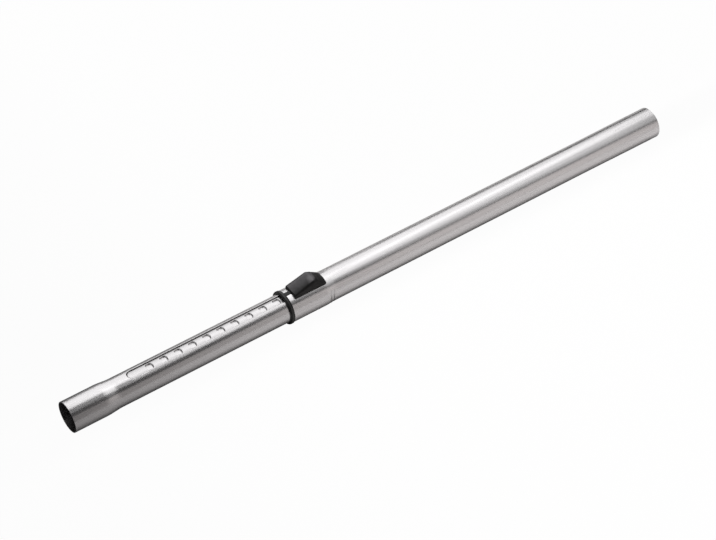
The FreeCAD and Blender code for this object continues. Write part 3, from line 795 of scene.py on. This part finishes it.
# %% [markdown]
# Pressed shapes as heights
#
# Pressed metal has no sharp edges, so each outline is a narrow band over which the height goes smoothly
# from the tube to the floor. The groove starts with a half circle, where the metal is also drawn down
# in a shallow lip. A pocket is a rounded rectangle. The end nearest the spigot is steeper, and the
# other end is bowed.


# %% Groove and pockets
def groove_edge(x, y):
    """Distance inwards from the groove's outline."""
    return GROOVE_HALF - (abs(y) if x > GROOVE_HUB else math.hypot(x - GROOVE_HUB, y))


def pocket_share(x, y):
    """0 on the groove's floor, 1 on a pocket's floor."""
    index = min(max(round((x - FIRST_POCKET) / POCKET_PITCH), 0), POCKET_COUNT - 1)
    offset = x - FIRST_POCKET - index * POCKET_PITCH
    band, bow = STEEP_BAND, 0.0
    if offset > 0:
        band, bow = PRESSED_BAND, POCKET_BOW * (1 - min(1.0, abs(y) / POCKET_HALF_WIDTH) ** 2)
    along = abs(offset) - POCKET_HALF_LENGTH - bow + POCKET_ROUND
    across = abs(y) - POCKET_HALF_WIDTH + POCKET_ROUND
    outside = math.hypot(max(along, 0), max(across, 0)) + min(max(along, across), 0)
    return smooth_step(POCKET_ROUND - outside, *band)


def inner_tube_point(x, turn, sink=0.0, floor_sink=0.0):
    """Point of the pressed tube, sink below its outer face."""
    radius = eased(x, TAPER, (SPIGOT_RADIUS, INNER_RADIUS), TAPER_EASE) - sink
    y, z = radius * math.sin(turn), radius * math.cos(turn)
    edge = groove_edge(x, y)
    if z > 0 and x > GROOVE_START - LIP_REACH and edge > -LIP_WIDTH:
        lip = smooth_step(edge, -LIP_WIDTH, LIP_END)
        lip *= 1 - smooth_step(x, GROOVE_HUB, GROOVE_HUB + LIP_FADE)
        floor_z = GROOVE_FLOOR + (POCKET_FLOOR - GROOVE_FLOOR) * pocket_share(x, y) - floor_sink
        floor_z -= FLOOR_CROWN * (y / GROOVE_HALF) ** 2
        z -= LIP_DEPTH * lip
        z += (floor_z - z) * smooth_step(edge, *PRESSED_BAND)
    return (x, y, z)


def inner_tube_lining(x, turn):
    """Inner face, under a wall that is thinner where it is pressed."""
    return inner_tube_point(x, turn, TUBE_WALL, PRESSED_WALL)


pocket_depth = INNER_RADIUS - inner_tube_point(FIRST_POCKET, 0.0)[2]
print("depth in the middle of the first pocket:", round(pocket_depth, 2))

# %% [markdown]
# Rows and columns of the inner tube
#
# An even grid this fine would have millions of faces. So the rows are about a third of a millimetre
# apart only at each pocket's far wall and at the groove's start, and closer still at the steep near
# walls. The columns are that close only across the groove.

# %% Inner tube
SPIGOT_ROWS = (0.0, 0.3, 1.0, 12.0, 26.0)
TAPER_MARGIN = 3.0
TAPER_ROWS = 20
AFTER_TAPER = 8.0
START_MARGINS = (2.0, 0.5)
START_STEP = 0.35
NEAR_WALL_ROWS = (-3.8, -3.5, -3.4, -3.3, -3.2, -3.1, -2.7, -2.2, -1.6)
FAR_WALL_ROWS = np.append(np.arange(1.4, 4.65, 0.32), 5.2)
GROOVE_REACH = 6.9
COLUMN_STEP = 0.3
PLAIN_COLUMNS = 50


def inner_tube_rows():
    """Places of the rows along X."""
    spigot = [SPIGOT_X + step for step in SPIGOT_ROWS]
    taper = list(np.linspace(TAPER[0] - TAPER_MARGIN, TAPER[1] + TAPER_MARGIN, TAPER_ROWS))
    start = list(np.arange(GROOVE_START - START_MARGINS[0], GROOVE_HUB + START_MARGINS[1], START_STEP))
    pockets = []
    for index in range(POCKET_COUNT):
        middle = FIRST_POCKET + index * POCKET_PITCH
        pockets += list(middle + np.array(NEAR_WALL_ROWS)) + list(middle + FAR_WALL_ROWS)
    rows = spigot + taper + [TAPER[1] + AFTER_TAPER] + start + pockets + [INNER_END_X]
    return sorted(set(round(float(x), 4) for x in rows if x <= INNER_END_X))


def inner_tube_columns():
    """Turns of the columns round the tube, from the near side of the groove."""
    sides = np.arange(-GROOVE_REACH, GROOVE_REACH + 0.01, COLUMN_STEP)
    pressed = [math.asin(y / INNER_RADIUS) for y in sides]
    rest = np.linspace(pressed[-1], 2 * math.pi + pressed[0], PLAIN_COLUMNS)[1:-1]
    return pressed + list(rest)


inner_tube = grid_shell("inner_tube_pressed", inner_tube_rows(), inner_tube_columns(),
                        inner_tube_point, inner_tube_lining)
dress(inner_tube, PRESSED_STEEL, "inner", "inner_tube")

# %% [markdown]
# The outer tube
#
# A plain tube, swaged a little wider at both ends: at the latch, where it holds the sleeve, and very
# gently towards the handle's socket. Behind the latch two short crimps on each flank keep the sleeve in
# place. Bump alone could draw the crimps, but dents in the mesh also catch the light from the side.

# %% Measures of the outer tube
MOUTH_X = -500.0
OUTER_RADIUS = 17.75
LATCH_RADIUS = 18.4
SOCKET_RADIUS = 18.1
LATCH_STEP = (-458.0, -444.0)
SOCKET_STEP = (-110.0, -20.0)
CRIMP_WIDTH = 0.9
CRIMP_DEPTH = 0.5
FLANK_UPPER = (-0.6, -0.3)
FLANK_LOWER = (0.6, 0.85)
SLOT_HALF = 2.35
WINDOW_HALF = 6.9
WINDOW = (MOUTH_X + 12.5, MOUTH_X + 40.5)


def outer_tube_point(x, turn, sink=0.0):
    """Point of the swaged tube, sink below its outer face."""
    radius = OUTER_RADIUS - sink
    radius += (LATCH_RADIUS - OUTER_RADIUS) * (1 - smooth_step(x, *LATCH_STEP))
    radius += (SOCKET_RADIUS - OUTER_RADIUS) * smooth_step(x, *SOCKET_STEP)
    return (x, radius * math.sin(turn), radius * math.cos(turn))


def crimped_point(x, turn):
    """Outer face, dented by the crimps on both flanks."""
    down = -math.cos(turn)
    flank = smooth_step(down, *FLANK_UPPER) * (1 - smooth_step(down, *FLANK_LOWER))
    dents = sum(math.exp(-((x - line) / CRIMP_WIDTH) ** 2) for line in CRIMPS)
    return outer_tube_point(x, turn, CRIMP_DEPTH * flank * dents)


def outer_tube_lining(x, turn):
    """Inner face, one wall further in."""
    return outer_tube_point(x, turn, TUBE_WALL)


print("latch opening:", WINDOW, "and slot", 2 * SLOT_HALF, "wide")

# %% [markdown]
# Rows, columns and the opening
#
# On the real tube the slot and the window for the latch are punched out. Cutting them with another
# solid would leave ragged faces. Here the first columns lie on the edges of the slot and of the window,
# so a cell is either steel or open, and the edges are clean.

# %% Outer tube
RIM_ROW = 0.4
CRIMP_ROWS = np.arange(-1.8, 1.85, 0.3)
BEFORE_CRIMPS = (LATCH_STEP[0], -455.4)
AFTER_CRIMPS = (-446.0, -443.0)
STEP_ROWS = 4
PLAIN_PART = (-430.0, -120.0)
PLAIN_ROWS = 12
SOCKET_END_ROWS = [-1.0, -0.3, 0.0]
ROUND_COLUMNS = 110
SLOT_CELLS = (2, 3)
WINDOW_CELLS = 6


def outer_tube_rows():
    """Places of the rows along X."""
    latch = [MOUTH_X, MOUTH_X + RIM_ROW, WINDOW[0], sum(WINDOW) / 2, WINDOW[1]]
    crimps = [line + step for line in CRIMPS for step in CRIMP_ROWS]
    before = list(np.linspace(*BEFORE_CRIMPS, STEP_ROWS))
    after = list(np.linspace(*AFTER_CRIMPS, STEP_ROWS))
    plain = list(np.linspace(*PLAIN_PART, PLAIN_ROWS))
    socket = list(np.linspace(*SOCKET_STEP, PLAIN_ROWS)) + SOCKET_END_ROWS
    return latch + before + crimps + after + plain + socket


def outer_tube_columns():
    """Turns of the columns round the tube, from the near edge of the window."""
    slot = math.asin(SLOT_HALF / LATCH_RADIUS)
    window = math.asin(WINDOW_HALF / LATCH_RADIUS)
    top = [-window, -(window + slot) / 2, -slot, 0.0, slot, (window + slot) / 2, window]
    rest = np.linspace(window, 2 * math.pi - window, ROUND_COLUMNS)[1:-1]
    return top + list(rest)


OUTER_ROWS = outer_tube_rows()


def latch_opening(row, column):
    """Whether a cell is in the slot or in the window."""
    middle = (OUTER_ROWS[row] + OUTER_ROWS[row + 1]) / 2
    in_slot = column in SLOT_CELLS and middle < WINDOW[1]
    in_window = column < WINDOW_CELLS and WINDOW[0] < middle < WINDOW[1]
    return in_slot or in_window


outer_tube = grid_shell("outer_tube_swaged", OUTER_ROWS, outer_tube_columns(),
                        crimped_point, outer_tube_lining, open_cell=latch_opening)
dress(outer_tube, STEEL, "outer", "outer_tube")

# %% [markdown]
# The thumb slide
#
# A black moulding that sits astride the tube. Its top climbs in a straight ramp to a short level crest,
# and behind the crest a hollow for the thumb falls to the tube, lower at the sides than in the middle.
# A box with rounded edges could be bent into that shape, but a row of squarish arches follows it more
# exactly. A smaller copy of each arch makes the hollow inside, where the lock works, and a notch in
# front lets the sleeve's rail pass.

# %% Measures of the thumb slide
SLIDE_FRONT = -493.8
SLIDE_REAR = -453.5
SLIDE_HALF = 9.8
SLIDE_WALL = 0.5
SADDLE_RADIUS = 18.55
RAIL_NOTCH_HALF = 2.7
RAIL_NOTCH_TOP = 19.1
RAIL_NOTCH_END = -484.0
CREST_X = -469.4
MIDDLE_X = (SLIDE_FRONT, CREST_X, -464.5, -461.5, -457.5, SLIDE_REAR)
MIDDLE_Z = (20.6, 27.95, 27.4, 25.0, 22.5, 19.5)
SIDE_X = (SLIDE_FRONT, CREST_X, SLIDE_REAR)
SIDE_Z = (20.6, 27.95, 16.6)
TOP_EASE = 0.7
HOLLOW_POWER = 2.5
SIDE_LEAN = 0.1
RISE_POWER = 0.42
SPAN_POWER = 0.2
FRONT_CORNER = 0.8
REAR_CORNER = 2.0
EDGE_ROUND = 0.7
print("thumb slide is", round(SLIDE_REAR - SLIDE_FRONT, 2), "long and", 2 * SLIDE_HALF, "wide")

# %% [markdown]
# Arches
#
# Each arch is a circle pulled towards a square: small powers of its sine and cosine make flat sides and
# a flat top with a round corner between. Bevelled edges would be as round everywhere, but here the
# corner also follows the hollow.


# %% Arches of the thumb slide
def rounded(distance, radius):
    """0 at an edge, 1 from radius inwards, along a quarter circle."""
    inside = min(1.0, max(0.0, distance / radius))
    return math.sqrt(1 - (1 - inside) ** 2)


def slide_top(x, y):
    """Height of the slide's top, which is lower at the sides behind the crest."""
    middle = eased(x, MIDDLE_X, MIDDLE_Z, TOP_EASE)
    side = eased(x, SIDE_X, SIDE_Z, TOP_EASE)
    return middle - (middle - side) * (abs(y) / SLIDE_HALF) ** HOLLOW_POWER


def slide_saddle(x, y):
    """Height of the slide's underside over the tube, raised over the rail."""
    saddle = math.sqrt(SADDLE_RADIUS ** 2 - y ** 2)
    if x < RAIL_NOTCH_END and abs(y) < RAIL_NOTCH_HALF:
        saddle = max(saddle, RAIL_NOTCH_TOP)
    return saddle


def slide_point(x, arch, sink=0.0):
    """Point of an arch, which runs from 0 on the near side to pi on the far side."""
    front, rear = x - SLIDE_FRONT, SLIDE_REAR - x
    half = SLIDE_HALF - sink
    half -= FRONT_CORNER * (1 - rounded(front, FRONT_CORNER))
    half -= REAR_CORNER * (1 - rounded(rear, REAR_CORNER))
    rise = abs(math.sin(arch)) ** RISE_POWER
    span = math.copysign(abs(math.cos(arch)) ** SPAN_POWER, math.cos(arch))
    y = -(half - SIDE_LEAN * rise) * span
    saddle = slide_saddle(x, y)
    foot = math.sqrt(SADDLE_RADIUS ** 2 - half ** 2)
    z = max(saddle, foot + (slide_top(x, y) - sink - foot) * rise)
    return (x, y, saddle + (z - saddle) * rounded(front, EDGE_ROUND) * rounded(rear, EDGE_ROUND))


def slide_hollow_point(x, arch):
    """Same arch inside the wall, drawn in from both ends."""
    share = (x - SLIDE_FRONT) / (SLIDE_REAR - SLIDE_FRONT)
    inner_x = x + SLIDE_WALL * (1 - 2 * share)
    return slide_point(inner_x, arch, SLIDE_WALL)


print("crest at", [round(value, 2) for value in slide_point(CREST_X, math.pi / 2)])

# %% [markdown]
# Rows and columns of the thumb slide
#
# Rows crowd at both ends, where the edge is rounded, and are 0.4 mm apart between. Even turns of the
# arch would leave wide gaps on its flat faces, so that its underside would cut into the tube. The
# columns are therefore spread by width over the top and by height up the sides, and by turn only round
# the corners.

# %% Thumb slide
CORNER_TURNS = (math.radians(20), math.radians(70))
SIDE_COLUMNS = 7
CORNER_COLUMNS = 20
TOP_COLUMNS = 20
EDGE_STEPS = 6
ROW_STEP = 0.4


def slide_columns():
    """Turns of the columns over the arch."""
    side_end = math.sin(CORNER_TURNS[0]) ** RISE_POWER
    top_start = math.cos(CORNER_TURNS[1]) ** SPAN_POWER
    side = [math.asin(rise ** (1 / RISE_POWER)) for rise in np.linspace(0, side_end, SIDE_COLUMNS)]
    corner = list(np.linspace(*CORNER_TURNS, CORNER_COLUMNS))[1:-1]
    top = [math.acos(span ** (1 / SPAN_POWER)) for span in np.linspace(top_start, 0, TOP_COLUMNS)]
    near = side + corner + top
    return near + [math.pi - turn for turn in reversed(near[:-1])]


edge_turns = [step * math.pi / (2 * EDGE_STEPS) for step in range(EDGE_STEPS + 1)]
edge_rows = [EDGE_ROUND * (1 - math.cos(turn)) for turn in edge_turns]
first_row = SLIDE_FRONT + EDGE_ROUND + ROW_STEP
last_row = SLIDE_REAR - EDGE_ROUND - ROW_STEP / 2
slide_rows = [SLIDE_FRONT + step for step in edge_rows]
slide_rows += list(np.arange(first_row, last_row, ROW_STEP))
slide_rows += [SLIDE_REAR - step for step in reversed(edge_rows)]
thumb_slide = grid_shell("thumb_slide_skin", slide_rows, slide_columns(),
                         slide_point, slide_hollow_point, joined=False)
dress(thumb_slide, THUMB_BLACK, "thumb_slide", "slide_button")
